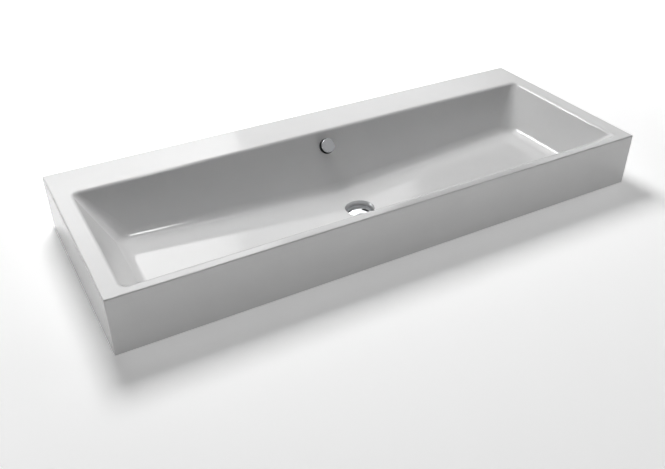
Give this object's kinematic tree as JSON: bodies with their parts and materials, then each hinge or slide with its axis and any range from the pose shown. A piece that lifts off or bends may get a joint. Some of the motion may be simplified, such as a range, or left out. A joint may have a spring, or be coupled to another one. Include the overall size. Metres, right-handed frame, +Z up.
{
  "type": "countertop wash basin",
  "caption": "Long rectangular countertop wash basin in white enamelled steel with one wide sloped bowl, a round overflow with a pull-off cover and a push-button waste.",
  "frame": {"origin": "middle of the seat flange, in the plane where the skirt rests on the counter", "axes": "+X along the front to the right seen from the front, +Y to the back, +Z up"},
  "size_m": [1.2, 0.46, 0.1975],
  "materials": {
    "white_enamel": "gloss",
    "chrome": "polished",
    "zinc_plated_steel": "satin",
    "stainless_steel": "satin",
    "brass": "satin",
    "black_rubber": "matte",
    "bitumen_pad": "matte",
    "white_plastic": "satin",
    "black_plastic": "satin",
    "grey_hose": "satin",
    "acetal": "satin"
  },
  "bodies": {
    "basin": {"basin_shell": "white_enamel", "waste_body": "chrome", "fixing_bracket_front_left": "zinc_plated_steel", "fixing_bracket_front_right": "zinc_plated_steel", "fixing_bracket_back_left": "zinc_plated_steel", "fixing_bracket_back_right": "zinc_plated_steel", "bracket_nuts": "zinc_plated_steel", "hose_clamp_upper": "stainless_steel", "hose_clamp_lower": "stainless_steel", "cartridge_spring": "stainless_steel", "lock_nut": "brass", "overflow_face_seal": "black_rubber", "overflow_back_seal": "black_rubber", "flange_seal": "black_rubber", "collar_seal_upper": "black_rubber", "collar_seal_lower": "black_rubber", "damping_pad_left": "bitumen_pad", "damping_pad_right": "bitumen_pad", "overflow_elbow": "white_plastic", "overflow_collar": "white_plastic", "slip_washer": "white_plastic", "overflow_sleeve": "black_plastic", "overflow_hose": "grey_hose", "cartridge_housing": "acetal", "cartridge_cap": "acetal"},
    "plug": {"plug_cap": "chrome", "plug_seal": "black_rubber", "plug_stem": "stainless_steel", "seal_retainer": "stainless_steel"},
    "overflow_cover": {"overflow_cover": "chrome", "cover_clip": "acetal"}
  },
  "joints": [
    {"name": "plug_slide", "type": "slide", "parent": "basin", "child": "plug", "axis": [0, 0, 1], "range_m": [-0.0015, 0.008], "deforming": ["cartridge_spring"]},
    {"name": "overflow_cover_pull", "type": "slide", "parent": "basin", "child": "overflow_cover", "axis": [0, -0.8192, 0.5736], "range_m": [0, 0.016]}
  ]
}
